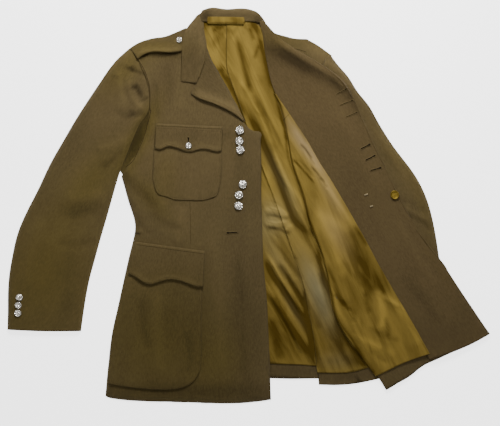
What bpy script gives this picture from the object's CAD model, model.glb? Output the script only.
"""Service jacket laid open on its back, dressed for a picture taken from straight above.

Each piece of cloth starts from its solid's upper side, is made finer, gets its creases from
the tables below and a thin wall. Tables are in millimetres, x to the right, y to the collar.
"""
import math
import bmesh
import bpy
import numpy as np
from bpy.props import FloatProperty, FloatVectorProperty, PointerProperty
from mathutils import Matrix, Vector
from mathutils.bvhtree import BVHTree


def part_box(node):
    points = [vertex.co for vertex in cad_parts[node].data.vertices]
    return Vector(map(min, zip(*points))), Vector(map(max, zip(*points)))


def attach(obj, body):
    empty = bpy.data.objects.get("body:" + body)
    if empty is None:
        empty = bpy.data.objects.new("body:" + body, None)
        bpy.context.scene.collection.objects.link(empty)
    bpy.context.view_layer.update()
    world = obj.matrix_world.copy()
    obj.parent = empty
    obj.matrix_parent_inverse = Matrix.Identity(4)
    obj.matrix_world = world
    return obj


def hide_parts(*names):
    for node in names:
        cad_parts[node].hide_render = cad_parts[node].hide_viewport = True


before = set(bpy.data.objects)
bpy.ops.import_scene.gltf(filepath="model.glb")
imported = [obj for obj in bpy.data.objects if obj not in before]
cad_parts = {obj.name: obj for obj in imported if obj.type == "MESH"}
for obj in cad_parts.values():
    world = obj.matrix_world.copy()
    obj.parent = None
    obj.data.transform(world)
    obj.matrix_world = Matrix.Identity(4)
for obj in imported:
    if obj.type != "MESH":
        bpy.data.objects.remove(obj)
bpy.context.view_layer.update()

bl_info = {
    "name": "Service Jacket",
    "version": (1, 0, 0),
    "blender": (4, 5, 0),
    "location": "3D View > Sidebar > Jacket",
    "description": "Dresses a service jacket that lies open on its back",
    "category": "Object",
}

MM = 0.001
# What the picture shows, in metres: its width, its middle and the middle height of the cloth
PICTURE_WIDTH = 1.075
PICTURE_CENTRE = (0.0032, -0.0161)
CLOTH_HEIGHT = 0.008
LENS = 85.0
SENSOR = 36.0

# A fold is its height (below 0 a trough), its widths on the west and the east side, and its line
BACK_LINING_FOLDS = (
    (1.1, 3.5, 3.5, ((26, 95), (35.3, 70), (57.3, 12), (76.3, -42), (94.3, -96), (104, -126))),
    (-3, 6, 5, (
        (-35, 378), (-24, 349), (-17, 325), (-10, 293), (-2, 270), (11, 235), (24, 215), (33, 196), (45, 176),
        (52, 158), (63, 137), (75, 110), (86, 88),
    )),
    (-6, 8, 8, (
        (-15, 228), (0, 202), (14, 175), (23, 154), (31, 128), (41, 104), (51, 81), (61, 57), (70, 33), (79, 8),
        (93, -29), (109, -53), (125, -74), (140, -96), (146, -117),
    )),
    (4, 5, 11, ((8, 229), (29, 186), (46, 143), (61, 104), (78, 59), (94, 16), (109, -23), (126, -55))),
    (2.6, 6, 9, ((8, 270), (29, 229), (46, 190), (66, 147), (83, 109))),
    (2.4, 4, 4, ((-21, 269), (3, 235), (17, 206), (32, 189))),
    (2, 4, 8, ((-44, 248), (-23, 218), (-3, 190), (12, 167))),
    (-1.5, 3, 3, ((29, 112), (44, 75), (57, 46))),
    (-1.6, 4, 4, ((-84, 368), (-78, 377), (-68, 381), (-51, 382))),
    (1.6, 3, 3, ((-83, 341), (-74, 354), (-63, 362))),
    (-1.6, 3, 3, ((-13, 392), (-6, 378))),
    (-1.8, 3, 3, ((2, 375), (10, 352))),
    (-2.2, 4, 3, ((20, 348), (18, 331), (10, 311))),
    (-0.9, 2.5, 2.5, ((13, 283), (43, 272))),
    (-3.5, 2.5, 3, ((-45, 287), (-38, 261))),
    (-3.2, 4, 4, ((-74, 298), (-63, 293), (-51, 300))),
    (-1.6, 3, 3, ((33, 12), (57, 5), (81, -10))),
    (1.4, 3, 3, ((38, -1), (63, -10), (89, -27))),
    (-1.4, 3, 3, ((35, -16), (59, -25), (76, -33))),
    (1.6, 3, 3, ((35, -33), (61, -38), (89, -35))),
    (-2.6, 3, 3, ((35, -47), (59, -49), (86, -47))),
    (1.2, 3, 4, ((42, -59), (59, -74), (68, -94))),
    (-3, 5, 5, ((127, -51), (144, -64))),
    (-5, 5, 7, ((32, -112), (46, -142), (62, -168), (82, -205), (101, -231), (119, -255), (126, -284))),
    (-4.5, 5, 6, ((63, -129), (76, -149), (91, -172), (108, -201), (126, -231))),
    (-1.5, 2.5, 2.5, ((33, -72), (50, -98), (62, -123))),
    (-3, 4, 4, ((72, -110), (93, -141), (104, -159))),
    (-2.6, 4, 4, ((99, -106), (106, -134), (117, -162))),
    (3.2, 4, 4, ((42, -109), (59, -137), (78, -173), (98, -205), (117, -238))),
    (2.6, 4, 4, ((72, -113), (89, -143), (109, -180), (124, -212))),
    (-2.6, 6, 6, ((74, -246), (94, -291), (115, -334))),
    (-2, 6, 6, ((52, -289), (63, -336))),
    (-1.2, 2.5, 2.5, ((89, -239), (127, -314))),
    (4.2, 5, 8, ((38, -178), (67, -221), (97, -276), (119, -322))),
    (-3.4, 3, 2.5, ((121, -178), (126, -224), (133, -261), (144, -307), (151, -358))),
    (2.6, 2.5, 9, ((130, -186), (135, -229), (144, -272), (154, -315), (160, -349))),
    (-3.6, 9, 7, ((154, -143), (171, -182), (188, -225), (210, -268), (231, -300))),
    (2, 8, 5, ((139, -121), (147, -160), (162, -203), (175, -242), (192, -281))),
    (-1.8, 7, 7, ((167, -306), (188, -315), (210, -336))),
)
LEFT_LINING_FOLDS = (
    (-2.2, 3, 3, ((115, 132), (131, 102), (144, 82))),
    (-2.2, 3, 3, ((153, 59), (169, 35))),
    (-1.6, 3, 3, ((105, 99), (123, 81), (142, 57))),
    (-1.3, 3, 3, ((94, 97), (114, 78))),
    (1.6, 5, 5, ((98, 167), (117, 128), (137, 94), (156, 63))),
    (-1.3, 6, 6, ((132, 33), (164, -20), (186, -74))),
    (2, 8, 8, ((115, 66), (137, 12), (156, -42), (175, -96))),
    (-2.6, 4, 4, ((184, -191), (197, -207), (210, -219))),
    (-1.6, 3, 3, ((249, -191), (257, -218))),
    (-2, 3, 3, ((224, -242), (228, -254))),
    (-1.7, 4, 3, ((293, -229), (300, -268), (303, -296))),
    (2.2, 4, 4, ((273, -182), (290, -197), (326, -219))),
    (2.6, 6, 6, ((278, -189), (283, -229), (287, -272))),
    (-1.3, 4, 4, ((227, -83), (242, -134), (253, -182))),
    (2, 7, 7, ((192, -113), (207, -167), (218, -210))),
    (1.7, 8, 6, ((218, -276), (250, -291), (293, -311))),
    (-1.7, 5, 5, ((261, -311), (278, -328), (300, -341))),
    (-1.4, 6, 6, ((210, -35), (223, -74), (235, -106))),
)
FACING_CREASES = (
    (3.6, 6, 15, ((51, 360), (89, 332), (137, 302), (186, 270), (218, 233))),
    (1.4, 20, 20, ((186, 227), (229, 141), (266, 66), (293, 12))),
    (-1.2, 15, 15, ((197, 87), (244, 1), (293, -96))),
    (1.6, 10, 10, ((315, -20), (336, -63), (369, -121), (412, -182))),
    (-1.4, 12, 12, ((326, -149), (369, -203), (412, -257))),
)
RIGHT_FRONT_FOLDS = (
    (-1.6, 10, 10, ((-212, -20), (-180, -42), (-137, -53))),
    (1.6, 14, 14, ((-78, -20), (-74, -96), (-61, -203), (-57, -311), (-53, -401))),
    (-1.5, 10, 10, ((-27, -96), (-18, -182), (-12, -289), (-8, -397))),
    (2.2, 12, 12, ((-195, -173), (-195, -268), (-190, -375))),
    (-2.2, 8, 8, ((-231, -195), (-223, -278), (-212, -315))),
    (-1.6, 9, 9, ((-134, -268), (-126, -315), (-130, -371))),
    (1.6, 12, 12, ((-143, 1), (-147, -42), (-152, -85))),
    (-1, 12, 12, ((-180, 309), (-173, 259), (-169, 205))),
    (1.6, 14, 14, ((-152, 313), (-147, 259), (-156, 201))),
    (-1.4, 9, 9, ((-207, 270), (-199, 227), (-199, 180))),
    (-1.4, 8, 8, ((-257, 12), (-238, -35), (-212, -66))),
)
FLAP_EDGES = (
    (1.8, 5, 5, (
        (-206, 124), (-192, 121), (-171, 129), (-154, 125), (-128, 117), (-102, 122), (-85, 121), (-63, 116),
        (-52, 118),
    )),
    (2.2, 6, 6, (
        (-262, -146), (-240, -153), (-224, -165), (-212, -169), (-195, -164), (-171, -158), (-150, -160),
        (-123, -169), (-106, -175), (-92, -174),
    )),
)
STRAP_EDGE = ((3.2, 7, 7, ((-240, 320), (-222, 329), (-200, 332), (-175, 331), (-140, 336))),)
LAPEL_EDGE = ((5, 7, 13, ((-121, 242), (-98, 229), (-68, 218), (-42, 207), (-20, 194), (-5, 178))),)
RIGHT_SLEEVE_FOLDS = (
    (-2.6, 6, 6, ((-253, 300), (-248, 283))),
    (-3, 6, 7, ((-246, 261), (-238, 242), (-231, 227))),
    (-2.2, 6, 6, ((-261, 201), (-244, 197))),
    (2.2, 7, 7, ((-261, 278), (-257, 253), (-246, 225), (-227, 205))),
    (-1.8, 7, 7, ((-220, 197), (-255, 192), (-293, 201))),
    (1.8, 8, 8, ((-281, 291), (-276, 248), (-268, 210))),
    (-1.8, 7, 7, ((-268, 119), (-293, 94), (-324, 76))),
    (1.6, 9, 9, ((-263, 145), (-293, 128), (-330, 119))),
    (-1.4, 10, 10, ((-311, 1), (-352, -18), (-401, -23))),
    (1.5, 10, 10, ((-306, 29), (-349, 16), (-397, 14))),
    (-1.3, 10, 10, ((-326, -74), (-367, -87), (-414, -81))),
    (1.3, 12, 12, ((-448, -20), (-470, -96), (-478, -182))),
    (-1.2, 12, 12, ((-379, -96), (-392, -182), (-397, -250))),
)
LEFT_SLEEVE_FOLDS = (
    (2, 8, 8, ((158, 317), (192, 287), (223, 244))),
    (-2.4, 4, 5, ((334, -16), (357, -28), (378, -40), (392, -57))),
    (-1.6, 5, 5, ((291, 115), (313, 85), (334, 55))),
    (-1.4, 5, 5, ((321, 20), (352, -1), (377, -18))),
    (1.8, 6, 6, ((274, 162), (309, 106), (343, 46))),
    (1.8, 5, 5, ((330, 1), (356, -14), (386, -35))),
)
# A streak of tone is its strength (below 0 darker), its widths on the west and the east side, and its line
BACK_STREAKS = (
    (-1.0, 6, 8, ((-12, 206), (15, 169), (36, 124), (60, 70), (81, 13), (101, -37), (126, -57), (143, -72))),
    (-0.6, 3, 3, ((58, 227), (77, 165), (88, 95), (101, 62), (118, 13), (130, -28), (143, -57))),
    (0.55, 6, 6, ((36, 173), (58, 103), (81, 54), (110, 13), (120, -28))),
    (0.4, 14, 14, ((34, 91), (44, 33), (73, -16), (89, -57))),
    (0.7, 4, 5, ((31, -6), (60, -10), (89, -20))),
    (-0.7, 4, 4, ((34, -20), (60, -22), (89, -30))),
    (0.6, 4, 4, ((36, -37), (69, -41), (101, -43))),
    (-0.8, 4, 5, ((34, -47), (64, -51), (93, -61))),
    (-1.05, 6, 7, ((35, -115), (52, -148), (73, -179), (93, -209), (114, -238), (128, -263))),
    (-0.7, 5, 5, ((60, -115), (81, -148), (101, -179), (126, -230))),
    (0.45, 5, 5, ((38, -98), (60, -139), (87, -179), (110, -209), (126, -244))),
    (-0.4, 4, 4, ((38, -61), (73, -102), (101, -139), (120, -168))),
    (-0.75, 7, 9, ((42, -179), (69, -226), (101, -279), (143, -329))),
    (0.5, 8, 8, ((46, -160), (77, -209), (110, -263), (138, -312))),
    (-0.5, 10, 10, ((50, -238), (60, -288), (73, -337))),
    (-0.9, 4, 3, ((120, -176), (123, -218), (127, -255), (134, -300), (144, -349))),
    (0.3, 16, 16, ((143, -111), (155, -164), (176, -226), (180, -267))),
    (-1.1, 8, 5, ((148, -80), (153, -115), (163, -156), (184, -201), (202, -246), (221, -292))),
    (-1.0, 14, 16, ((192, -234), (217, -288), (241, -325), (258, -349))),
    (0.35, 9, 9, ((151, -259), (167, -292), (176, -333))),
    (-0.4, 8, 8, ((159, -185), (180, -238), (208, -320))),
    (-0.75, 6, 6, ((-26, 367), (-17, 332), (-9, 298), (0, 266), (7, 240))),
    (0.45, 9, 9, ((-40, 376), (-29, 321), (-17, 281), (-9, 246))),
    (0.4, 12, 12, ((-9, 384), (0, 347), (12, 306), (26, 269))),
    (-0.5, 4, 5, ((0, 384), (7, 367), (12, 355))),
    (-0.45, 4, 4, ((23, 347), (17, 330), (12, 315))),
    (-0.8, 8, 4, ((25, 373), (32, 335), (40, 304), (49, 269), (55, 246))),
    (-0.7, 5, 5, ((-70, 295), (-60, 291), (-49, 298))),
    (0.35, 8, 8, ((-92, 373), (-78, 347), (-69, 318), (-63, 301))),
    (-0.4, 4, 5, ((-86, 332), (-75, 347), (-63, 358))),
    (-0.35, 5, 5, ((-78, 376), (-63, 384), (-49, 381), (-32, 370))),
    (-0.9, 6, 6, ((-63, 292), (-46, 269), (-32, 240), (-17, 214), (-6, 191))),
    (-0.5, 6, 8, ((9, 240), (29, 203), (40, 171), (49, 137), (55, 99))),
    (0.4, 6, 6, ((-6, 258), (12, 211), (29, 177), (40, 142))),
    (-0.6, 4, 4, ((52, 258), (63, 223), (73, 188), (79, 165), (86, 131))),
    (-0.9, 10, 10, ((-104, 410), (-92, 399), (-81, 393))),
    (-0.5, 6, 6, ((6, 399), (14, 384), (26, 367))),
)
LEFT_STREAKS = (
    (-0.6, 3, 3, (
        (64, 227), (77, 173), (89, 103), (110, 38), (126, -20), (147, -69), (163, -123), (178, -185), (188, -234),
        (225, -292), (276, -366),
    )),
    (-0.9, 2.4, 2.4, ((110, 134), (126, 116), (138, 99))),
    (-0.8, 2.4, 2.4, ((93, 103), (118, 75), (143, 46))),
    (-0.9, 2.4, 2.4, ((134, 85), (149, 68), (165, 48))),
    (-0.35, 3, 3, ((159, 46), (180, 13), (190, -8))),
    (0.35, 12, 12, ((138, -16), (180, -32), (221, -53))),
    (0.35, 9, 9, ((93, 165), (126, 107), (159, 58), (200, -4), (237, -57))),
    (-0.45, 24, 20, ((221, -37), (241, -86), (258, -123), (278, -164), (291, -201))),
    (-0.55, 4, 4, ((225, -41), (241, -65), (255, -88))),
    (-0.6, 3, 3, ((235, -109), (243, -119), (250, -131))),
    (-0.5, 9, 9, ((200, -144), (217, -185), (229, -226), (225, -246))),
    (-0.7, 3, 5, ((198, -201), (208, -214), (219, -228))),
    (-0.45, 5, 5, ((248, -181), (254, -209), (260, -234))),
    (0.5, 7, 7, ((272, -174), (285, -209), (291, -238), (278, -271))),
    (0.45, 6, 6, ((287, -187), (311, -205), (340, -226))),
    (0.35, 16, 14, ((324, -218), (348, -259), (369, -300))),
    (-0.45, 5, 5, ((291, -238), (299, -263), (301, -283))),
    (-0.35, 7, 7, ((254, -259), (291, -279), (328, -292))),
    (0.3, 9, 9, ((237, -283), (278, -304), (320, -320))),
    (-0.7, 7, 5, ((225, -300), (250, -337), (276, -368))),
    (0.4, 4, 4, ((152, -86), (163, -131), (180, -181), (196, -226), (225, -279))),
    (-0.45, 7, 7, ((167, -123), (188, -176), (208, -226))),
    (0.3, 14, 14, ((151, -28), (176, -78), (200, -127))),
    (-0.35, 10, 5, ((291, -102), (311, -156), (344, -218), (381, -292))),
)

# A patch of tone is its centre, its half length and half width, its turn in degrees and its strength
LINING_TONES = (
    (12, 330, 60, 30, -70, 0.1), (-20, 250, 40, 22, -60, 0.1), (8, 385, 12, 20, 0, -0.3), (45, -30, 22, 14, 0, 0.3),
    (225, -335, 30, 14, 0, -0.4), (70, -260, 110, 80, 0, -0.45), (150, -300, 80, 60, 0, -0.3),
    (-10, 300, 60, 90, 0, -0.12), (70, 20, 80, 50, 0, -0.1), (205, -320, 60, 12, -50, -0.5),
)
LEFT_LINING_TONES = (
    (150, 60, 60, 20, -55, 0.25), (185, -30, 60, 26, -60, 0.3), (270, -170, 50, 30, -50, -0.45),
    (330, -270, 40, 14, -50, 0.2), (225, -120, 60, 30, -60, -0.25), (250, -280, 60, 40, -40, -0.1),
    (200, -200, 40, 16, -60, -0.15),
)
FACING_TONES = (
    (85, 320, 70, 16, -25, -0.55), (130, 292, 70, 14, -30, -0.6), (190, 262, 30, 12, -50, -0.6),
    (60, 340, 80, 60, 0, -0.3), (222, 228, 38, 9, -68, -0.5), (150, 190, 60, 40, 0, 0.05),
    (300, -60, 80, 30, -60, 0.1), (470, -240, 40, 20, -55, -0.1),
)
CLOTH_TONES = (
    (-190, 345, 50, 20, 5, 0.15), (-240, 300, 50, 40, 0, 0.15), (-95, 310, 90, 60, 0, -0.28),
    (-150, 110, 120, 90, 0, 0.2), (-128, 148, 80, 16, 0, -0.2), (-150, -260, 110, 110, 90, -0.38),
    (0, -250, 40, 160, 0, -0.25), (-120, -400, 190, 20, 0, -0.5), (-400, -100, 160, 70, 70, 0.12),
    (330, 100, 120, 30, -60, 0.2), (160, 320, 60, 20, -25, 0.2), (-18, 50, 14, 120, 0, -0.15),
    (-100, -60, 90, 60, 0, 0.1),
)
# Patches where a sheet turns to its second colour
PINK_TONES = (
    (105, 150, 44, 12, -60, 0.8), (140, 105, 46, 12, -55, 0.8), (175, 30, 60, 14, -60, 0.5),
    (190, -60, 60, 20, -60, 0.35),
)
PALE_TONES = (
    (45, -30, 44, 44, 0, 0.5), (150, -190, 84, 22, -68, 0.9), (72, 55, 80, 12, -62, 0.35),
    (62, -115, 60, 16, -57, 0.3), (95, -220, 50, 8, -60, 0.3), (190, -335, 40, 20, 0, 0.3),
)
OLIVE_TONES = (
    (-440, -150, 170, 100, 70, 0.6), (-330, 60, 90, 40, 50, 0.45), (-270, 290, 60, 30, 45, 0.45),
    (-190, 340, 60, 20, 0, 0.4), (-190, -290, 150, 130, 80, 0.6), (-60, -340, 90, 60, 80, 0.35),
    (-233, 149, 80, 20, 64, 0.8), (400, -20, 120, 30, -70, 0.3), (-215, 20, 60, 20, -50, 0.4),
    (-180, 60, 60, 30, 90, 0.25), (70, 360, 80, 30, 0, 0.3), (320, 120, 80, 26, -60, 0.3),
)
# More patches of tone on one sheet alone
SHEET_TONES = {
    "side_right": ((-236, 142, 84, 26, 64, -0.85), (-250, 135, 66, 8, 63, -0.6)),
    "front_right": (
        (-226, 27, 52, 11, -46, -0.45), (-262, 60, 20, 10, -60, -0.3), (-192, 324.5, 32, 5.5, 0, -1.0),
        (-226, 320, 14, 4, 35, -0.9), (-166, 325, 24, 3, 8, -0.8), (-239, -60, 9, 2.6, 0, -1.2),
        (-226, -48, 30, 8, 30, 0.15), (-190, 60, 14, 70, 0, 0.1),
    ),
    "sleeve_right_top": (
        (-252, 293, 15, 5, -24, -0.85), (-247, 254, 11, 5, 20, -0.7), (-234, 246, 6, 9, 20, -0.55),
        (-223, 229, 13, 4, 20, -0.6), (-252, 195, 15, 5, 30, -0.6), (-275, 215, 30, 12, 60, 0.2),
        (-262, 318, 26, 10, 20, 0.2), (-360, -6, 40, 20, 10, -0.4), (-285, 277, 10, 5, -20, -0.35),
        (-231, 286, 11, 4, -30, -0.5), (-235, 212, 18, 6, 45, 0.3), (-295, 300, 16, 6, 50, 0.2),
        (-300, 90, 30, 14, 40, -0.2), (-420, -150, 40, 50, 0, -0.1), (-390, 60, 30, 60, -30, 0.12),
    ),
    "neck_tape": (
        (-87, 399, 8, 12, 0, -0.9), (-67, 396, 5, 8, 0, -0.4), (-45, 392, 40, 3, 0, -0.6), (-22, 398, 9, 7, 0, -0.7),
        (-52, 401, 14, 5, 0, 0.2), (-35, 402, 8, 4, 0, -0.3), (-78, 402, 3, 8, 0, 0.2), (-12, 401, 3, 8, 0, 0.3),
    ),
    "lining_back_left": ((10, 390, 10, 12, 0, -0.5), (24, 355, 46, 4, -74, -0.6), (-30, 375, 20, 4, 60, -0.3)),
    "lining_back_right": (
        (-94, 392, 6, 14, 0, -0.7), (-66, 381, 18, 3.5, 28, -0.5), (-66, 362, 24, 3.5, 42, -0.5),
        (-60, 346, 30, 5, 50, 0.25),
    ),
    "collar_leaf": ((-102, 350, 8, 40, 0, 0.2),),
    "collar_stand": ((-92, 405, 10, 20, 0, -0.8), (20, 395, 12, 16, 0, -0.8), (-40, 408, 60, 5, 0, -0.2)),
    "back_left": ((150, 335, 40, 12, -30, 0.5), (230, -366, 90, 12, 0, -0.3)),
    "back_right": ((100, -356, 70, 16, 0, -0.35),),
}

# A pull moves the cloth near a place: its x and y, by how much in x and y, and how wide
PULLS = {
    "back_left": (
        (119, 350, 2, 8, 26), (146, 334, 3, 11, 22), (168, 323, 16.5, 3, 22), (160, 306, 14, -4, 14),
        (80, 357, 0, 5, 22), (25, 393, 4, 9, 16),
    ),
    "sleeve_left_top": ((176, 317, -2, 6, 24), (212, 272, 5, 5, 34), (255, 215, 2, 2, 30), (345, 60, 2, 0, 60)),
    "sleeve_left_under": ((176, 317, -2, 6, 24), (212, 272, 5, 5, 34), (255, 215, 2, 2, 30)),
    "facing_left": ((35, 387, -7, 9, 14),),
    "front_left": ((35, 387, -7, 9, 14), (345, -358, 3, -8, 34), (305, -390, 0, -3, 20), (400, -330, 1, -3, 30)),
    "back_right": ((80, -371, 0, -3, 60),),
    "sleeve_right_top": ((-440, -268, 0, -3, 80), (-257, 334, 3, 6, 14)),
    "strap_right": ((-251, 339, -2, -2, 12),),
    "sleeve_right_under": ((-440, -268, 0, -3, 80),),
    "breast_pocket_right": ((-193, 27, -2, -4, 12), (-73, 26, 2, -4, 12)),
    "front_right": (
        (20, 152, 6, 7, 10), (-243, 336, -9, -1, 12), (-262, -150, -2, 0, 80), (-226, 158, 4, 0, 22),
        (-240, 112, 3, -1, 14),
    ),
    "side_right": (
        (-214, 200, -2, 11, 12), (-230, 178, -9, 5, 16), (-245, 147, -8, 3, 20), (-258, 112, -9, 2, 18),
        (-262, 80, -16, 0, 18),
    ),
    "neck_tape": ((-14, 398, 8, 0, 12), (-88, 398, -3, 0, 8)),
    "lining_back_right": ((-91, 388, -4, 5, 9),),
    "collar_stand": ((16, 404, 9, 2, 14), (24, 392, 11, -2, 10), (-95, 408, -7, 0, 14)),
}

# A sheet is its solid, finish, set of creases, flat width, length and area in metres, and turn of its grain
SHEETS = {
    "body": (
        ("side_right", "cloth", "none", 0.135, 0.597, 0.0625, 0),
        ("back_right", "cloth", "none", 0.324, 0.793, 0.17, 0),
        ("back_left", "cloth", "none", 0.202, 0.823, 0.109, 0),
        ("side_left", "cloth", "none", 0.082, 0.566, 0.0295, 25),
    ),
    "sleeves": (
        ("sleeve_right_under", "cloth", "none", 0.178, 0.633, 0.084, 28),
        ("sleeve_left_under", "cloth", "none", 0.189, 0.595, 0.083, -25),
        ("sleeve_right_top", "cloth", "right_sleeve", 0.192, 0.649, 0.092, 28),
        ("sleeve_left_top", "cloth", "left_sleeve", 0.198, 0.636, 0.091, -28),
    ),
    "lining": (
        ("lining_back_right", "satin", "back_lining", 0.132, 0.775, 0.0605, -28),
        ("lining_back_left", "satin", "back_lining", 0.13, 0.804, 0.0755, -26),
    ),
    "right_front": (
        ("front_right", "cloth", "right_front", 0.34, 0.8, 0.235, 3),
        ("breast_pocket_right", "cloth", "right_front", 0.146, 0.148, 0.0204, 3),
        ("lower_pocket_right", "cloth", "right_front", 0.193, 0.294, 0.0515, 5),
        ("breast_flap_right", "cloth", "flap", 0.056, 0.142, 0.0075, 3),
        ("lower_flap_right", "cloth", "flap", 0.086, 0.161, 0.012, 8),
        ("strap_right", "cloth", "strap", 0.044, 0.123, 0.0042, 75),
    ),
    "collar": (
        ("lapel_right", "cloth", "lapel", 0.09, 0.185, 0.007, -35),
        ("collar_leaf", "cloth", "none", 0.051, 0.153, 0.0061, 10),
        ("collar_stand", "cloth", "none", 0.032, 0.12, 0.0034, 90),
        ("neck_tape", "satin", "none", 0.015, 0.069, 0.001, 0),
    ),
    "left_front": (
        ("front_left", "cloth", "none", 0.264, 0.817, 0.143, -35),
        ("facing_left", "facing", "facing", 0.139, 0.817, 0.0905, -30),
        ("lining_front_left", "satin", "left_lining", 0.141, 0.654, 0.0593, -25),
    ),
}

# A seam is its name, what its cord is made of, the radius of the cord and its line
SEAMS = (
    ("armhole_seam_right", "thread", 0.8, (
        (-240, 318), (-223.9, 291), (-214.9, 263), (-211.9, 235), (-212.1, 209), (-210.8, 203),
    )),
    ("armhole_edge_right", "thread", 0.7, (
        (-209.5, 205), (-220.6, 163.4), (-227, 142), (-238.4, 117), (-249.1, 95.7), (-264, 83),
    )),
    ("centre_back_seam", "satin", 0.75, (
        (-47, 394), (-47, 350), (-47, 322), (-46.2, 294), (-35.7, 262), (-21.7, 225), (-7, 182),
    )),
    ("centre_back_seam_low", "satin", 0.6, ((104, -126), (119.3, -174), (130.3, -230), (140.9, -285), (147, -340))),
    ("front_dart_seam", "thread", 0.4, ((-126, 10), (-125, -30), (-124, -84))),
    ("breast_flap_welt", "thread", 0.45, ((-197, 171), (-150, 169), (-100, 166), (-57, 164))),
    ("lower_flap_welt", "thread", 0.45, ((-240, -84), (-190, -91), (-140, -98), (-95, -104))),
    ("gorge_seam", "cloth", 1.0, ((-91, 341), (-92, 327), (-96.4, 306.5), (-102, 289), (-106.5, 276))),
    ("neck_tape_stitches", "thread", 0.35, ((-84, 393.5), (-50, 393), (-17, 392.5))),
    ("left_lining_join", "thread", 0.4, ((74.5, 183), (81, 190), (88, 197))),
    ("breast_flap_side", "thread", 0.3, ((-55.9, 162), (-56.6, 141), (-58, 121))),
    ("breast_flap_side_outer", "thread", 0.4, ((-199.2, 168), (-200.5, 146), (-201, 124))),
    ("collar_leaf_side", "thread", 0.45, ((-143.3, 331), (-144.1, 303), (-145.2, 270))),
    ("waist_nick", "thread", 0.8, ((-240.5, -59.8), (-237.5, -60.2), (-234.5, -60))),
    ("hem_join", "thread", 0.4, ((382, -320), (386, -331))),
    ("shoulder_left_seam", "thread", 0.6, ((100, 338), (112, 335), (124, 331))),
)

# A row of stitches is its name, how far apart they are and its line
STITCH_ROWS = (
    ("breast_flap_stitches", 3.2, ((-197, 166), (-150, 164), (-100, 161), (-58, 159))),
    ("breast_flap_edge_stitches", 3.2, (
        (-197, 128), (-191, 125.5), (-171, 133), (-154, 129), (-128, 120.5), (-102, 126), (-85, 125), (-66, 120.5),
        (-61, 122),
    )),
    ("lower_flap_edge_stitches", 3.2, (
        (-252, -146), (-239, -149), (-224, -160), (-211, -165), (-195, -160), (-171, -154), (-150, -156),
        (-123, -165), (-106, -171), (-101, -169),
    )),
    ("breast_pocket_stitches", 3.2, (
        (-201, 112), (-201, 60), (-198, 42), (-188, 27), (-172, 19), (-156, 17), (-94, 16), (-78, 20), (-66, 32),
        (-62, 50), (-62, 108),
    )),
    ("lower_pocket_stitches", 3.2, (
        (-294, -380), (-260, -386), (-209, -391), (-164, -392), (-137, -387), (-118, -378), (-110, -366),
        (-106, -340), (-105, -182),
    )),
    ("lapel_stitches", 3.4, ((-117, 240), (-100, 233), (-66, 222), (-45, 212), (-28, 202), (-14, 191))),
)

# A buttonhole is its name, its inner end, its eye end and whether it lies nearly shut
BUTTONHOLES = (
    ("buttonhole_1", 188, 239, 212, 251, True),
    ("buttonhole_2", 196, 215, 225, 226.5, True),
    ("buttonhole_3", 208, 189, 234, 200.5, True),
    ("buttonhole_4", 240, 121, 262, 132, False),
    ("buttonhole_5", 251, 97, 273, 108, False),
    ("buttonhole_6", 261, 75, 286, 81.5, False),
    ("front_buttonhole", -23.5, -57.5, -48, -59, False),
    ("breast_buttonhole", -129, 137, -129, 147, False),
)
# A thread bar is its name and its two ends
THREAD_BARS = (("thread_bar_1", 249, 22, 256, 24.5), ("thread_bar_2", 261, -2.5, 267, -0.5))

# A button is its solid, its centre, its radius and its metal
BUTTONS = (
    ("button_front_1", -18, 162, 9.0, "silver"),
    ("button_front_2", -19, 139, 9.0, "silver"),
    ("button_front_3", -17, 120, 9.0, "silver"),
    ("button_front_4", -12, 46, 9.0, "silver"),
    ("button_front_5", -20, 23, 9.0, "silver"),
    ("button_front_6", -21, 0, 9.0, "silver"),
    ("button_strap", -148, 356, 6.2, "silver"),
    ("button_breast", -128, 129, 6.8, "silver"),
    ("button_cuff_1", -492, -197, 7.4, "silver"),
    ("button_cuff_2", -494, -214, 7.4, "silver"),
    ("button_cuff_3", -495, -231, 7.4, "silver"),
    ("button_gold", 314, 23, 9.6, "gold"),
)
# Outline of a button from the middle: share of the radius, share of the height
DOME_OUTLINE = (
    (0.0, 1.0), (0.2, 0.99), (0.42, 0.93), (0.62, 0.82), (0.74, 0.7), (0.78, 0.62), (0.82, 0.62), (0.88, 0.66),
    (0.94, 0.6), (0.99, 0.48), (1.0, 0.34), (0.9, 0.14), (0.55, 0.0), (0.0, 0.0),
)
DISC_OUTLINE = (
    (0.0, 0.66), (0.4, 0.66), (0.66, 0.64), (0.74, 0.72), (0.8, 0.94), (0.88, 1.0), (0.96, 0.9), (1.0, 0.5),
    (0.94, 0.12), (0.7, 0.0), (0.0, 0.0),
)

# Sets of creases and of streaks that a sheet can have
CREASES = {
    "none": (),
    "back_lining": BACK_LINING_FOLDS,
    "left_lining": LEFT_LINING_FOLDS + FACING_CREASES,
    "facing": FACING_CREASES,
    "right_front": RIGHT_FRONT_FOLDS,
    "flap": RIGHT_FRONT_FOLDS + FLAP_EDGES,
    "strap": STRAP_EDGE,
    "lapel": LAPEL_EDGE,
    "right_sleeve": RIGHT_SLEEVE_FOLDS,
    "left_sleeve": LEFT_SLEEVE_FOLDS,
}
STREAKS = {"back_lining": BACK_STREAKS, "left_lining": LEFT_STREAKS}
SECOND_COLOURS = {"left_lining": ("pink", PINK_TONES), "back_lining": ("pale", PALE_TONES)}

# By finish: thickness, slot, lowest place of a trough, and the height of a fold that takes the full tone
WALL = {"cloth": 1.5, "facing": 1.4, "satin": 0.8}
LOWEST = {"cloth": 1.6, "facing": 1.6, "satin": 3.0}
FULL_TONE = {"cloth": 9, "facing": 9, "satin": 14}
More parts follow.
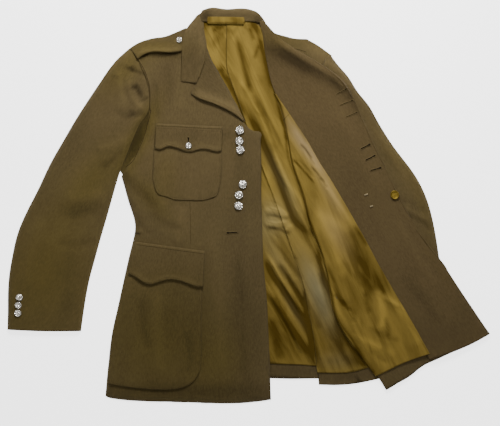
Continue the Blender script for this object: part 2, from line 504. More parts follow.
# By finish, or by set of creases where that has its own: how far the outline is let out, and the tones
OUTLINE_GROWTH = {"cloth": 0.9, "facing": 0.9, "satin": 0.5, "lapel": 0.2}
TONES = {"cloth": CLOTH_TONES, "facing": FACING_TONES, "satin": LINING_TONES, "left_lining": LEFT_LINING_TONES}
WHITE = (1.0, 1.0, 1.0, 1.0)
# By finish: dark and light shares of its colour, roughness, sheen, specular level and tint, pitch of its ribs as
# a share of the serge's, and depth of its bump in metres
CLOTH_LOOK = {
    "cloth": ((0.38, 0.36, 0.3), (1.7, 1.7, 1.7), 0.94, 0.04, 0.12, WHITE, 1.0, 0.00022),
    "facing": ((0.38, 0.36, 0.3), (1.6, 1.6, 1.6), 0.95, 0.03, 0.12, WHITE, 1.0, 0.0002),
    "satin": ((0.34, 0.3, 0.16), (1.75, 1.75, 1.7), 0.62, 0.0, 0.07, (1.0, 0.78, 0.35, 1.0), 0.5, 0.00006),
}
SATIN_FUZZ = 0.12
# Dark and light share of a second colour
SECOND_DARK = 0.4
SECOND_LIGHT = 1.6

# Folds: how many widths they reach, and how fast they fade in and out along their line
FOLD_REACH = 3
FOLD_FADE = 2.2
# Lengths of the slight waves, each as high as its share of the longest, and what their sum is divided by
RIPPLE_LENGTHS = (150, 110, 80, 60, 45, 34)
RIPPLE_SUM = 2.4
# Cloth stays where it is up to this share of a button's radius, and is free this much farther out
BUTTON_SEAT = 0.6
BUTTON_FADE = 16
# A face that looks up less than this is part of the wall or the underside
LEAST_RISE = 0.06
# Cosines of the turn beyond which an outline has a corner, and the sharpest corner that is let out
CORNER = 0.85
POCKET_CORNER = 0.4
SHARPEST = 0.6
# Areas of a mesh cell in square metres, and levels of smoothing for the usual and for the small sheets
FLAT_CELL = 25e-6
CREASED_CELL = 10e-6
USUAL_LEVEL = 2
SMALL_LEVEL = 4
SMALL_AREA = 0.003
# Cloth lowered by more than this ends softly above the layer below, over this height
TROUGH = -0.05
SOFT_END = 0.7
# Strength of the streaks, and the darkest and lightest tone that a fold's height gives
STREAK_STRENGTH = 1.25
FOLD_TONES = (-0.5, 0.4)
# Places where the height of the cloth is looked for: at the point and just beside it
BESIDE = ((0, 0), (0.7, 0), (-0.7, 0), (0, 0.7), (0, -0.7))
ABOVE_ALL = 0.2

# How deep a seam's cord lies, as a share of its radius, and how far apart its points are
SEAM_SUNK = 0.45
SEAM_STEP = 4.0
# Half length of a stitch as a share of its step, and its half width and half height in metres
STITCH_LENGTH = 0.62
STITCH_WIDTH = 0.00032
STITCH_HEIGHT = 0.00022
# A buttonhole that is nearly shut or open: its half width, the swell at its eye, radius of its silk and its slit
BUTTONHOLE_LOOK = {True: (1.0, 1.2, 0.55, 0.65), False: (1.5, 2.4, 0.75, 1.4)}
EYE_LENGTH = 2.6
RIM_POINTS = 40
SLIT_POINTS = 14
BAR_POINTS = 8
BAR_RADIUS = 1.7
BAR_COLOUR = (0.2, 0.16, 0.09)
TURNED_STEPS = 40
# By metal: roughness, cells of its grain to a metre and their height in metres
METAL_LOOK = {"silver": (0.12, 330.0, 0.0021), "gold": (0.4, 900.0, 0.0002)}

# Half width of the floor in metres, its depth under the cloth and its own light, and the light all round
FLOOR_HALF = 25.0
FLOOR_DEPTH = 0.0005
FLOOR_GLOW = 2.4
ROOM_LIGHT = 0.36
# A lamp is its name, place, power in watts and size in metres; it looks at the origin
LAMPS = (("key_light", (0.02, 1.2, 0.95), 35.0, 0.5), ("fill_light", (0.5, -0.2, 2.3), 14.0, 1.6))
# Search trees of the cloth's upper sides, one for each sheet that is made
TOPS = []


class JacketSizes(bpy.types.PropertyGroup):
    """Sizes that the steps go by"""

    fold_depth: FloatProperty(
        name="Fold depth", description="Share of each crease's height", default=1.0, min=0.0, max=1.5,
    )
    weave_pitch: FloatProperty(
        name="Serge rib", description="Distance between ribs", default=0.0014, unit="LENGTH",
    )
    fuzz: FloatProperty(name="Fuzz", description="Strength of the wool's mottle", default=0.55, min=0.0, max=1.0)
    ripple: FloatProperty(
        name="Ripple", description="Height of the cloth's slight waves", default=0.0006, unit="LENGTH",
    )


class JacketColours(bpy.types.PropertyGroup):
    """Colours of cloth, thread and metal"""

    cloth: FloatVectorProperty(
        name="Serge", description="Olive-brown wool", subtype="COLOR", default=(0.072, 0.0515, 0.0205),
    )
    facing: FloatVectorProperty(
        name="Facing", description="Browner wool", subtype="COLOR", default=(0.07, 0.0485, 0.0195),
    )
    satin: FloatVectorProperty(
        name="Lining", description="Gold-olive satin", subtype="COLOR", default=(0.138, 0.093, 0.02),
    )
    pink: FloatVectorProperty(
        name="Faded lining", description="Faded satin", subtype="COLOR", default=(0.195, 0.138, 0.062),
    )
    pale: FloatVectorProperty(
        name="Pale lining", description="Grey-green shine of the satin", subtype="COLOR",
        default=(0.125, 0.107, 0.055),
    )
    olive: FloatVectorProperty(
        name="Olive serge", description="Wool where it is greener", subtype="COLOR", default=(0.072, 0.052, 0.008),
    )
    silver: FloatVectorProperty(
        name="Silver", description="Bright plate", subtype="COLOR", default=(0.86, 0.82, 0.74),
    )
    gold: FloatVectorProperty(name="Gilt", description="Worn gilt", subtype="COLOR", default=(0.2, 0.135, 0.022))
    thread: FloatVectorProperty(
        name="Thread", description="Sewing thread", subtype="COLOR", default=(0.03, 0.02, 0.007),
    )


def smooth_line(points, step=3.0):
    """Points close together on the smooth curve through the given ones."""
    points = np.asarray(points, float)
    lengths = np.linalg.norm(np.diff(points, axis=0), axis=1)
    marks = np.concatenate(([0.0], np.cumsum(lengths)))
    if len(points) > 2:
        slopes = np.gradient(points, marks, axis=0)
    else:
        slopes = np.diff(points, axis=0).repeat(2, 0) / marks[-1]
    where = np.linspace(0, marks[-1], max(3, int(marks[-1] / step) + 1))
    spot = np.clip(np.searchsorted(marks, where, side="right") - 1, 0, len(marks) - 2)
    span = (marks[spot + 1] - marks[spot])[:, None]
    t = (where - marks[spot])[:, None] / span
    return (
        (2 * t**3 - 3 * t**2 + 1) * points[spot] + (t**3 - 2 * t**2 + t) * span * slopes[spot]
        + (3 * t**2 - 2 * t**3) * points[spot + 1] + (t**3 - t**2) * span * slopes[spot + 1]
    )


def fold_heights(x, y, folds):
    """Sum of the folds at each place: a bell across each line, with its own width on either side."""
    total = np.zeros_like(x)
    for height, west, east, points in folds:
        line = smooth_line(points)
        reach = FOLD_REACH * max(west, east)
        near = (
            (x > line[:, 0].min() - reach) & (x < line[:, 0].max() + reach)
            & (y > line[:, 1].min() - reach) & (y < line[:, 1].max() + reach)
        )
        if not near.any():
            continue
        apart_x = x[near][:, None] - line[:, 0]
        apart_y = y[near][:, None] - line[:, 1]
        apart = np.hypot(apart_x, apart_y)
        nearest = apart.argmin(axis=1)
        rows = np.arange(len(nearest))
        ahead = np.gradient(line, axis=0)[nearest]
        side = ahead[:, 0] * apart_y[rows, nearest] - ahead[:, 1] * apart_x[rows, nearest]
        down = np.where(ahead[:, 1] > 0, -1.0, 1.0)
        width = np.where(side * down > 0, east, west)
        fade = np.clip(np.sin(np.pi * nearest / (len(line) - 1)) * FOLD_FADE, 0.0, 1.0)
        total[near] += height * np.exp(-((apart[rows, nearest] / width) ** 2)) * fade
    return total


def ripples(x, y, seed):
    """Slight waves of a few sizes, from -1 to 1, the same on each run."""
    draw = np.random.default_rng(seed)
    total = np.zeros_like(x)
    for length in RIPPLE_LENGTHS:
        angle = draw.uniform(0, 2 * math.pi)
        shift = draw.uniform(0, 2 * math.pi)
        bend = 12 * np.sin(x / 70 + shift) + 9 * np.cos(y / 55 + angle)
        wave = (x * math.cos(angle) + y * math.sin(angle) + bend) * 2 * math.pi / length + shift
        total += np.sin(wave) * length / RIPPLE_LENGTHS[0]
    return total / RIPPLE_SUM


def tone(x, y, patches):
    """Sum of the soft patches of tone."""
    total = np.zeros_like(x)
    for centre_x, centre_y, half_length, half_width, turn, strength in patches:
        angle = math.radians(turn)
        along = (x - centre_x) * math.cos(angle) + (y - centre_y) * math.sin(angle)
        across = (y - centre_y) * math.cos(angle) - (x - centre_x) * math.sin(angle)
        total += strength * np.exp(-((along / half_length) ** 2) - (across / half_width) ** 2)
    return total


def near_buttons(x, y):
    """0 close to a button, so that the cloth there stays where the button sits."""
    keep = np.ones_like(x)
    for _, centre_x, centre_y, radius, _ in BUTTONS:
        apart = np.hypot(x - centre_x, y - centre_y)
        keep = np.minimum(keep, np.clip((apart - radius * BUTTON_SEAT) / BUTTON_FADE, 0, 1))
    return keep


def new_object(name, data):
    """An object of the scene, at the origin."""
    made = bpy.data.objects.new(name, data)
    bpy.context.scene.collection.objects.link(made)
    return made


def new_piece(name, work):
    """An object from a finished bmesh."""
    mesh = bpy.data.meshes.new(name)
    work.to_mesh(mesh)
    work.free()
    return new_object(name, mesh)


def finished_mesh(made):
    """What an object's modifiers or its curve make, as a mesh of its own."""
    graph = bpy.context.evaluated_depsgraph_get()
    mesh = bpy.data.meshes.new_from_object(made.evaluated_get(graph))
    mesh.name = made.name
    return mesh


def shade_smooth(piece):
    """Round shading on all faces of a piece."""
    for face in piece.data.polygons:
        face.use_smooth = True


def upper_side(node):
    """The upper side of a CAD piece as a mesh of quads."""
    work = bmesh.new()
    work.from_mesh(bpy.data.objects[node].data)
    bmesh.ops.remove_doubles(work, verts=work.verts, dist=2e-6)
    work.normal_update()
    bmesh.ops.recalc_face_normals(work, faces=work.faces)
    work.normal_update()
    hidden = [face for face in work.faces if face.normal.z < LEAST_RISE]
    bmesh.ops.delete(work, geom=hidden, context="FACES")
    bmesh.ops.join_triangles(
        work, faces=work.faces, angle_face_threshold=1.2, angle_shape_threshold=2.2, cmp_seam=False,
        cmp_sharp=False, cmp_uvs=False, cmp_vcols=False, cmp_materials=False,
    )
    return work


def set_outline(work, growth, corner_turn):
    """Keep the corners and let the outline out a little, so that the pieces meet at their seams."""
    crease = work.verts.layers.float.new("crease_vert")
    outward = {}
    for edge in work.edges:
        if len(edge.link_faces) != 1:
            continue
        ahead = edge.verts[1].co - edge.verts[0].co
        out = Vector((ahead.y, -ahead.x, 0.0)).normalized()
        if out.dot(edge.link_faces[0].calc_center_median() - edge.verts[0].co) > 0:
            out.negate()
        for corner in edge.verts:
            outward.setdefault(corner, []).append(out)
    for corner, sides in outward.items():
        both = sides[0] + sides[-1]
        if len(sides) != 2 or both.length < SHARPEST:
            continue
        both.normalize()
        corner.co += both * growth * MM / max(sides[0].dot(both), SHARPEST)
        if sides[0].dot(sides[1]) < corner_turn:
            corner[crease] = 1.0


def make_sheet(node, finish, creases, width, length, area, grain):
    """One piece of cloth in place of its solid."""
    sizes = bpy.context.scene.jacket_sizes
    flat = creases == "none"
    work = upper_side(node)
    growth = OUTLINE_GROWTH.get(creases, OUTLINE_GROWTH[finish])
    set_outline(work, growth, POCKET_CORNER if "pocket" in node else CORNER)
    piece = new_piece("sheet_" + node, work)
    fine = piece.modifiers.new("Fine", "SUBSURF")
    cells = area / len(piece.data.polygons) / (FLAT_CELL if flat else CREASED_CELL)
    least = SMALL_LEVEL if area < SMALL_AREA else USUAL_LEVEL
    fine.levels = fine.render_levels = max(least, math.ceil(math.log(cells, 4)))
    fine.boundary_smooth = "PRESERVE_CORNERS"
    smoothed = finished_mesh(piece)
    piece.modifiers.clear()
    piece.data = smoothed
    mesh = piece.data

    place = np.empty(len(mesh.vertices) * 3)
    mesh.vertices.foreach_get("co", place)
    place = place.reshape(-1, 3)
    x = place[:, 0] / MM
    y = place[:, 1] / MM
    for pull_x, pull_y, by_x, by_y, wide in PULLS.get(node, ()):
        share = np.exp(-((x - pull_x) ** 2 + (y - pull_y) ** 2) / wide**2)
        place[:, 0] += by_x * MM * share
        place[:, 1] += by_y * MM * share
    x, y, z = (place / MM).T
    height = fold_heights(x, y, CREASES[creases]) * sizes.fold_depth
    keep = near_buttons(x, y)
    raised = height * keep
    if not flat:
        raised = raised + ripples(x, y, len(creases)) * keep * sizes.ripple / MM
    lowest = LOWEST[finish]
    settled = lowest + np.logaddexp(0, (z + raised - lowest) / SOFT_END) * SOFT_END
    place[:, 2] = np.where(raised < TROUGH, settled, z + raised) * MM
    mesh.vertices.foreach_set("co", place.ravel())

    shade = tone(x, y, TONES.get(creases, TONES[finish]) + SHEET_TONES.get(node, ()))
    shade = shade + STREAK_STRENGTH * fold_heights(x, y, STREAKS.get(creases, ()))
    shade = shade + np.clip(height / FULL_TONE[finish], *FOLD_TONES)
    second, places = SECOND_COLOURS.get(creases, ("olive", OLIVE_TONES))
    for name, values in (("tone", shade), ("faded", tone(x, y, places))):
        mesh.attributes.new(name, "FLOAT", "POINT").data.foreach_set("value", values.astype(np.float32))
    mesh.update()
    corners = [vertex.co.copy() for vertex in mesh.vertices]
    TOPS.append(BVHTree.FromPolygons(corners, [tuple(face.vertices) for face in mesh.polygons]))

    wall = piece.modifiers.new("Wall", "SOLIDIFY")
    wall.thickness = WALL[finish] * MM
    wall.offset = -1.0
    wall.use_quality_normals = True
    wall.thickness_clamp = 1.0
    shade_smooth(piece)
    mesh.materials.append(cloth_material(finish, grain, second))
    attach(piece, "root")
    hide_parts(node)


def lay_group(group):
    """Make all sheets of one group."""
    for row in SHEETS[group]:
        make_sheet(*row)
    return {"FINISHED"}


def top_height(x, y):
    """Height of the highest cloth at a place, in metres, with the narrow gaps of the seams passed over."""
    heights = []
    for aside_x, aside_y in BESIDE:
        start = Vector(((x + aside_x) * MM, (y + aside_y) * MM, ABOVE_ALL))
        for tree in TOPS:
            found = tree.ray_cast(start, Vector((0, 0, -1)))[0]
            if found is not None:
                heights.append(found.z)
    if not heights:
        raise RuntimeError(f"no cloth under {x}, {y}")
    return max(heights)


def on_cloth(points, above=0.0):
    """Places on the highest cloth, or so many millimetres above it."""
    return [Vector((x * MM, y * MM, top_height(x, y) + above * MM)) for x, y in points]


def tube(name, places, radius, closed=False):
    """A round cord on a line of places, as a mesh."""
    curve = bpy.data.curves.new(name, "CURVE")
    curve.dimensions = "3D"
    curve.bevel_depth = radius * MM
    curve.bevel_resolution = 2
    curve.use_fill_caps = True
    line = curve.splines.new("POLY")
    line.points.add(len(places) - 1)
    for spot, place in zip(line.points, places):
        spot.co = (*place, 1.0)
    line.use_cyclic_u = closed
    holder = new_object(name, curve)
    mesh = finished_mesh(holder)
    bpy.data.objects.remove(holder)
    bpy.data.curves.remove(curve)
    piece = new_object(name, mesh)
    shade_smooth(piece)
    return piece


def finish_trim(piece, material):
    """Surface, body and slot of a small piece."""
    piece.data.materials.append(material)
    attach(piece, "root")


def fill(tree, node, **values):
    """Fill the inputs of a node: a socket is linked, any other value is set."""
    for name, value in values.items():
        key = name.removeprefix("in_")
        socket = node.inputs[int(key) if key.isdigit() else key.replace("_", " ")]
        if isinstance(value, bpy.types.NodeSocket):
            tree.links.new(value, socket)
        else:
            socket.default_value = value
    return node


def add(tree, kind, **values):
    """A node with its properties set and its inputs filled."""
    node = tree.nodes.new(kind)
    for name in [name for name in values if not name.startswith("in_")]:
        setattr(node, name, values.pop(name))
    return fill(tree, node, **values)


def reckon(tree, operation, *inputs):
    """Result of a Math node with these inputs."""
    values = {f"in_{number}": value for number, value in enumerate(inputs)}
    return add(tree, "ShaderNodeMath", operation=operation, **values).outputs[0]


def group_tree(name, inputs, outputs):
    """A shader group with named sockets, and True if it is new and still empty."""
    if name in bpy.data.node_groups:
        return bpy.data.node_groups[name], False
    tree = bpy.data.node_groups.new(name, "ShaderNodeTree")
    for label, kind, value in inputs:
        socket = tree.interface.new_socket(label, in_out="INPUT", socket_type="NodeSocket" + kind)
        if value is not None:
            socket.default_value = value
    for label, kind in outputs:
        tree.interface.new_socket(label, in_out="OUTPUT", socket_type="NodeSocket" + kind)
    tree.nodes.new("NodeGroupInput").name = "Start"
    tree.nodes.new("NodeGroupOutput").name = "End"
    return tree, True


def mottle_group():
    """Colour of cloth that varies over hand-sized, finger-sized and thread-sized areas."""
    tree, new = group_tree(
        "cloth_mottle",
        (("Colour", "Color", (0.1, 0.1, 0.1, 1)), ("Dark", "Color", (0, 0, 0, 1)), ("Light", "Color", WHITE),
         ("Tone", "Float", 0.0), ("Fuzz", "Float", 0.5), ("Vector", "Vector", None)),
        (("Colour", "Color"), ("Fuzz Height", "Float")),
    )
    if not new:
        return tree
    start = tree.nodes["Start"].outputs
    along = add(tree, "ShaderNodeMapping", in_Vector=start["Vector"], in_Scale=(1.4, 0.5, 1.0)).outputs[0]
    large = add(tree, "ShaderNodeTexNoise", in_Vector=along, in_Scale=14.0, in_Detail=3.0, in_Roughness=0.6)
    small = add(tree, "ShaderNodeTexNoise", in_Vector=along, in_Scale=240.0, in_Detail=4.0, in_Roughness=0.75)
    sway = reckon(tree, "MULTIPLY_ADD", large.outputs["Fac"], 0.5, -0.25)
    speck = reckon(tree, "MULTIPLY_ADD", small.outputs["Fac"], 2.6, -1.3)
    both = reckon(tree, "ADD", sway, reckon(tree, "MULTIPLY", speck, start["Fuzz"]))
    whole = reckon(tree, "ADD", both, start["Tone"])
    colour = start["Colour"]
    for end_of_range, other in ((1.0, "Light"), (-1.0, "Dark")):
        share = add(tree, "ShaderNodeMapRange", in_0=whole, in_1=0.0, in_2=end_of_range, in_3=0.0, in_4=1.0)
        mix = add(
            tree, "ShaderNodeMix", data_type="RGBA", in_0=share.outputs[0], in_6=colour, in_7=start[other],
        )
        colour = mix.outputs[2]
    fill(tree, tree.nodes["End"], in_Colour=colour, in_Fuzz_Height=small.outputs["Fac"])
    return tree


def streak_group():
    """Fine long streaks where thin satin has been pressed into small folds."""
    tree, new = group_tree(
        "satin_streaks", (("Tone", "Float", 0.0), ("Vector", "Vector", None)), (("Tone", "Float"), ("Height", "Float")),
    )
    if not new:
        return tree
    start = tree.nodes["Start"].outputs
    long = add(tree, "ShaderNodeMapping", in_Vector=start["Vector"], in_Scale=(46.0, 6.0, 6.0)).outputs[0]
    waves = add(
        tree, "ShaderNodeTexNoise", in_Vector=long, in_Scale=1.0, in_Detail=2.5, in_Roughness=0.55, in_Distortion=0.9,
    )
    crisp = add(
        tree, "ShaderNodeMapRange", interpolation_type="SMOOTHSTEP", in_0=waves.outputs["Fac"], in_1=0.36, in_2=0.64,
        in_3=-0.28, in_4=0.26,
    ).outputs[0]
    fill(tree, tree.nodes["End"], in_Tone=reckon(tree, "ADD", crisp, start["Tone"]), in_Height=crisp)
    return tree


def rib_group():
    """Diagonal ribs of serge, as a height."""
    tree, new = group_tree(
        "serge_rib", (("Pitch", "Float", 0.0014), ("Vector", "Vector", None)), (("Height", "Float"),),
    )
    if not new:
        return tree
    start = tree.nodes["Start"].outputs
    split = add(tree, "ShaderNodeSeparateXYZ", in_0=start["Vector"]).outputs
    turns = reckon(tree, "DIVIDE", reckon(tree, "ADD", split[0], split[1]), start["Pitch"])
    angle = reckon(tree, "MULTIPLY", turns, 2 * math.pi)
    fill(tree, tree.nodes["End"], in_Height=reckon(tree, "SINE", angle))
    return tree


def scaled(colour, share):
    """A colour made darker or lighter, by one share or by one for each of its parts."""
    return tuple(min(1.0, float(part)) for part in np.multiply(tuple(colour), share)) + (1.0,)


def mottled(tree, vector, colour, dark, light, fuzz, **more):
    """A mottle of a colour between its dark and its light share."""
    return add(
        tree, "ShaderNodeGroup", node_tree=mottle_group(), in_Vector=vector, in_Colour=scaled(colour, 1.0),
        in_Dark=scaled(colour, dark), in_Light=scaled(colour, light), in_Fuzz=fuzz, **more,
    )


def bump(tree, strength, distance, height, **more):
    """Normal of a surface with this relief."""
    node = add(tree, "ShaderNodeBump", in_Strength=strength, in_Distance=distance, in_Height=height, **more)
    return node.outputs["Normal"]


def new_material(name):
    """A material with its node tree, its shader and the place on the object."""
    material = bpy.data.materials.new(name)
    material.use_nodes = True
    tree = material.node_tree
    return material, tree, tree.nodes["Principled BSDF"], add(tree, "ShaderNodeTexCoord").outputs["Object"]


def cloth_material(finish, grain, second):
    """Woven surface with its own grain direction, turning to a second colour where it has faded."""
    name = f"{finish}_{second}_grain_{grain}"
    if name in bpy.data.materials:
        return bpy.data.materials[name]
    colours = bpy.context.scene.jacket_colours
    sizes = bpy.context.scene.jacket_sizes
    dark, light, roughness, sheen, specular, tint, pitch, depth = CLOTH_LOOK[finish]
    satin = finish == "satin"
    fuzz = SATIN_FUZZ if satin else sizes.fuzz
    material, tree, shader, where = new_material(name)
    turned = add(tree, "ShaderNodeMapping", in_Vector=where, in_Rotation=(0, 0, math.radians(grain))).outputs[0]
    shade = add(tree, "ShaderNodeAttribute", attribute_name="tone").outputs["Fac"]
    pressed = {}
    if satin:
        streaks = add(tree, "ShaderNodeGroup", node_tree=streak_group(), in_Vector=turned, in_Tone=shade).outputs
        shade = streaks["Tone"]
        pressed["in_Normal"] = bump(tree, 0.8, 0.0012, streaks["Height"])
    first = mottled(tree, turned, getattr(colours, finish), dark, light, fuzz, in_Tone=shade)
    other = mottled(tree, turned, getattr(colours, second), SECOND_DARK, SECOND_LIGHT, fuzz, in_Tone=shade)
    faded = add(tree, "ShaderNodeAttribute", attribute_name="faded").outputs["Fac"]
    blend = add(
        tree, "ShaderNodeMix", data_type="RGBA", in_0=faded, in_6=first.outputs["Colour"], in_7=other.outputs["Colour"],
    )
    rib = add(tree, "ShaderNodeGroup", node_tree=rib_group(), in_Vector=turned, in_Pitch=sizes.weave_pitch * pitch)
    pile = reckon(tree, "MULTIPLY_ADD", first.outputs["Fuzz Height"], 1.4, rib.outputs["Height"])
    fill(
        tree, shader, in_Base_Color=blend.outputs[2], in_Roughness=roughness, in_Sheen_Weight=sheen,
        in_Sheen_Roughness=0.5, in_Specular_IOR_Level=specular, in_Specular_Tint=tint,
        in_Normal=bump(tree, 0.5, depth, pile, **pressed),
    )
    return material


def thread_material(name, colour):
    """Twisted thread with slight unevenness."""
    if name in bpy.data.materials:
        return bpy.data.materials[name]
    material, tree, shader, where = new_material(name)
    mottle = mottled(tree, where, colour, 0.5, 1.8, 0.9).outputs
    fill(
        tree, shader, in_Base_Color=mottle["Colour"], in_Roughness=0.85, in_Specular_IOR_Level=0.08,
        in_Normal=bump(tree, 0.6, 0.0002, mottle["Fuzz Height"]),
    )
    return material


def metal_material(name, colour, roughness, grain, relief):
    """Plated metal with a beaten grain and tarnish in its hollows."""
    if name in bpy.data.materials:
        return bpy.data.materials[name]
    material, tree, shader, where = new_material(name)
    cells = add(tree, "ShaderNodeTexVoronoi", in_Vector=where, in_Scale=grain)
    stain = add(tree, "ShaderNodeTexNoise", in_Vector=where, in_Scale=420.0, in_Detail=3.0).outputs["Fac"]
    share = add(tree, "ShaderNodeMapRange", in_0=stain, in_1=0.42, in_2=0.68, in_3=0.0, in_4=0.75)
    blend = add(
        tree, "ShaderNodeMix", data_type="RGBA", in_0=share.outputs[0], in_6=scaled(colour, 1.0),
        in_7=scaled(colour, 0.3),
    )
    rough = add(tree, "ShaderNodeMapRange", in_0=stain, in_1=0.0, in_2=1.0, in_3=roughness, in_4=roughness + 0.25)
    fill(
        tree, shader, in_Metallic=1.0, in_Base_Color=blend.outputs[2], in_Roughness=rough.outputs[0],
        in_Normal=bump(tree, 0.9, relief, cells.outputs["Distance"]),
    )
    return material


class JACKET_OT_body(bpy.types.Operator):
    """Back and side pieces that lie on the table"""

    bl_idname = "jacket.body"
    bl_label = "Back and Sides"

    def execute(self, context):
        return lay_group("body")


class JACKET_OT_sleeves(bpy.types.Operator):
    """Both sleeves, two pieces each"""

    bl_idname = "jacket.sleeves"
    bl_label = "Sleeves"

    def execute(self, context):
        return lay_group("sleeves")


class JACKET_OT_lining(bpy.types.Operator):
    """Satin lining of the back with its long folds"""

    bl_idname = "jacket.lining"
    bl_label = "Back Lining"

    def execute(self, context):
        return lay_group("lining")


class JACKET_OT_right_front(bpy.types.Operator):
    """Closed front with patch pockets, flaps and strap"""

    bl_idname = "jacket.right_front"
    bl_label = "Right Front"

    def execute(self, context):
        return lay_group("right_front")


class JACKET_OT_collar(bpy.types.Operator):
    """Lapel, collar and neck tape"""

    bl_idname = "jacket.collar"
    bl_label = "Collar"

    def execute(self, context):
        return lay_group("collar")


class JACKET_OT_left_front(bpy.types.Operator):
    """Opened front with its facing and lining up"""

    bl_idname = "jacket.left_front"
    bl_label = "Left Front"

    def execute(self, context):
        return lay_group("left_front")


class JACKET_OT_seams(bpy.types.Operator):
    """Seams and rows of stitches on the cloth"""

    bl_idname = "jacket.seams"
    bl_label = "Seams"

    def execute(self, context):
        colours = context.scene.jacket_colours
        cords = {
            "thread": thread_material("dark_thread", colours.thread),
            "satin": thread_material("satin_seam", scaled(colours.satin, 0.45)[:3]),
            "cloth": thread_material("cloth_seam", colours.cloth),
        }
        for name, finish, radius, points in SEAMS:
            places = on_cloth(smooth_line(points, SEAM_STEP), above=-SEAM_SUNK * radius)
            finish_trim(tube(name, places, radius), cords[finish])
        for name, step, points in STITCH_ROWS:
            places = on_cloth(smooth_line(points, step / 2))
            work = bmesh.new()
            for start, end in zip(places[::2], places[1::2]):
                ahead = end - start
                turn = ahead.to_track_quat("X", "Z").to_matrix()
                for vertex in bmesh.ops.create_icosphere(work, subdivisions=1, radius=1.0)["verts"]:
                    x, y, z = vertex.co
                    local = Vector((x * ahead.length * STITCH_LENGTH, y * STITCH_WIDTH, z * STITCH_HEIGHT))
                    vertex.co = turn @ local + (start + end) / 2
            piece = new_piece(name, work)
            shade_smooth(piece)
            finish_trim(piece, cords["thread"])
        return {"FINISHED"}


class JACKET_OT_buttonholes(bpy.types.Operator):
    """Worked buttonholes and thread bars"""

    bl_idname = "jacket.buttonholes"
    bl_label = "Buttonholes"

    def execute(self, context):
        colours = context.scene.jacket_colours
        silk = thread_material("buttonhole_silk", scaled(colours.cloth, 1.25)[:3])
        dark = thread_material("buttonhole_slit", scaled(colours.thread, 0.18)[:3])
        pale = thread_material("bar_thread", BAR_COLOUR)
        for name, inner_x, inner_y, eye_x, eye_y, shut in BUTTONHOLES:
            half, eye, rim_radius, slit_radius = BUTTONHOLE_LOOK[shut]
            start = np.array((inner_x, inner_y), float)
            along = np.array((eye_x, eye_y)) - start
            length = np.linalg.norm(along)
            along /= length
            across = np.array((-along[1], along[0]))
            rim = []
            for angle in np.linspace(0, 2 * math.pi, RIM_POINTS, endpoint=False):
                round_off = abs(math.sin(angle))
                reach = (1 - math.cos(angle)) / 2 * length
                swell = eye * math.exp(-(((length - reach) / EYE_LENGTH - 1) ** 2)) * round_off**0.5
                width = half * min(1.0, round_off * 4) + swell
                rim.append(start + along * reach + across * math.copysign(width, math.sin(angle)))
            finish_trim(tube(name + "_rim", on_cloth(rim, above=0.3), rim_radius, closed=True), silk)
            slit = [start + along * reach for reach in np.linspace(0.8, length - 1.2, SLIT_POINTS)]
            finish_trim(tube(name + "_slit", on_cloth(slit, above=0.1), slit_radius), dark)
        for name, start_x, start_y, end_x, end_y in THREAD_BARS:
            line = np.linspace((start_x, start_y), (end_x, end_y), BAR_POINTS)
            finish_trim(tube(name, on_cloth(line, above=0.5), BAR_RADIUS), pale)
        return {"FINISHED"}


class JACKET_OT_buttons(bpy.types.Operator):
    """Turned metal buttons with a rim and a domed middle"""

    bl_idname = "jacket.buttons"
    bl_label = "Buttons"

    def execute(self, context):
        colours = context.scene.jacket_colours
        metals = {
            "silver": metal_material("silver_plate", colours.silver, *METAL_LOOK["silver"]),
            "gold": metal_material("worn_gilt", colours.gold, *METAL_LOOK["gold"]),
        }
        for node, _, _, radius, metal in BUTTONS:
            low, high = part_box(node)
            centre = Vector(((low[0] + high[0]) / 2, (low[1] + high[1]) / 2, low[2]))
            height = high[2] - low[2]
            outline = DOME_OUTLINE if metal == "silver" else DISC_OUTLINE
            work = bmesh.new()
            made = [work.verts.new((out * radius * MM, 0, up * height)) for out, up in outline]
            edges = [work.edges.new(pair) for pair in zip(made, made[1:])]
            bmesh.ops.spin(
                work, geom=made + edges, cent=(0, 0, 0), axis=(0, 0, 1), angle=2 * math.pi, steps=TURNED_STEPS,
                use_merge=True,
            )
            bmesh.ops.remove_doubles(work, verts=work.verts, dist=1e-6)
            bmesh.ops.recalc_face_normals(work, faces=work.faces)
            bmesh.ops.translate(work, vec=centre, verts=work.verts)
            piece = new_piece(node.replace("button", "metal_button"), work)
            shade_smooth(piece)
            finish_trim(piece, metals[metal])
            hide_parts(node)
        return {"FINISHED"}


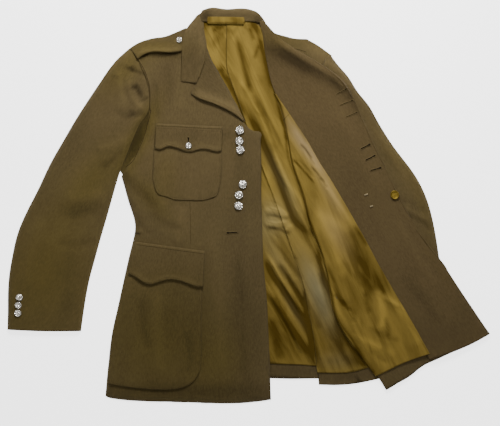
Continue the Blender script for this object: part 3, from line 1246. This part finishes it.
class JACKET_OT_stage(bpy.types.Operator):
    """Pale floor, soft light from the collar's side, and the camera above"""

    bl_idname = "jacket.stage"
    bl_label = "Stage"

    def execute(self, context):
        work = bmesh.new()
        bmesh.ops.create_grid(work, x_segments=2, y_segments=2, size=FLOOR_HALF)
        floor = new_piece("floor", work)
        floor.location.z = -FLOOR_DEPTH
        pale = bpy.data.materials.new("pale_floor")
        pale.use_nodes = True
        fill(
            pale.node_tree, pale.node_tree.nodes["Principled BSDF"], in_Base_Color=(0.95, 0.95, 0.95, 1.0),
            in_Emission_Color=WHITE, in_Emission_Strength=FLOOR_GLOW, in_Roughness=0.9,
        )
        floor.data.materials.append(pale)
        for name, place, power, size in LAMPS:
            lamp = bpy.data.lights.new(name, "AREA")
            lamp.energy = power
            lamp.size = size
            holder = new_object(name, lamp)
            holder.location = place
            holder.rotation_mode = "QUATERNION"
            holder.rotation_quaternion = (-Vector(place)).to_track_quat("-Z", "Y")
        world = bpy.data.worlds.new("studio")
        world.use_nodes = True
        fill(world.node_tree, world.node_tree.nodes["Background"], in_Color=WHITE, in_Strength=ROOM_LIGHT)
        context.scene.world = world
        camera = bpy.data.cameras.new("camera")
        camera.lens = LENS
        camera.sensor_width = SENSOR
        holder = new_object("camera", camera)
        holder.location = (*PICTURE_CENTRE, PICTURE_WIDTH * LENS / SENSOR + CLOTH_HEIGHT)
        context.scene.camera = holder
        return {"FINISHED"}


STEPS = (
    JACKET_OT_stage, JACKET_OT_body, JACKET_OT_sleeves, JACKET_OT_lining, JACKET_OT_right_front, JACKET_OT_collar,
    JACKET_OT_left_front, JACKET_OT_seams, JACKET_OT_buttonholes, JACKET_OT_buttons,
)


class JACKET_PT_panel(bpy.types.Panel):
    """Sizes, colours and steps of the jacket"""

    bl_label = "Jacket"
    bl_space_type = "VIEW_3D"
    bl_region_type = "UI"
    bl_category = "Jacket"

    def draw(self, context):
        for group in (context.scene.jacket_sizes, context.scene.jacket_colours):
            box = self.layout.box()
            for name in group.__annotations__:
                box.prop(group, name)
        for step in STEPS:
            self.layout.operator(step.bl_idname)


CLASSES = (JacketSizes, JacketColours, *STEPS, JACKET_PT_panel)


def register():
    """Make the classes and their settings known to Blender."""
    for item in CLASSES:
        bpy.utils.register_class(item)
    bpy.types.Scene.jacket_sizes = PointerProperty(type=JacketSizes)
    bpy.types.Scene.jacket_colours = PointerProperty(type=JacketColours)


def unregister():
    """Take the settings and classes away again."""
    del bpy.types.Scene.jacket_colours
    del bpy.types.Scene.jacket_sizes
    for item in reversed(CLASSES):
        bpy.utils.unregister_class(item)


def main():
    """Run every step in order."""
    register()
    for step in STEPS:
        group, name = step.bl_idname.split(".")
        getattr(getattr(bpy.ops, group), name)()


if __name__ == "__main__":
    main()
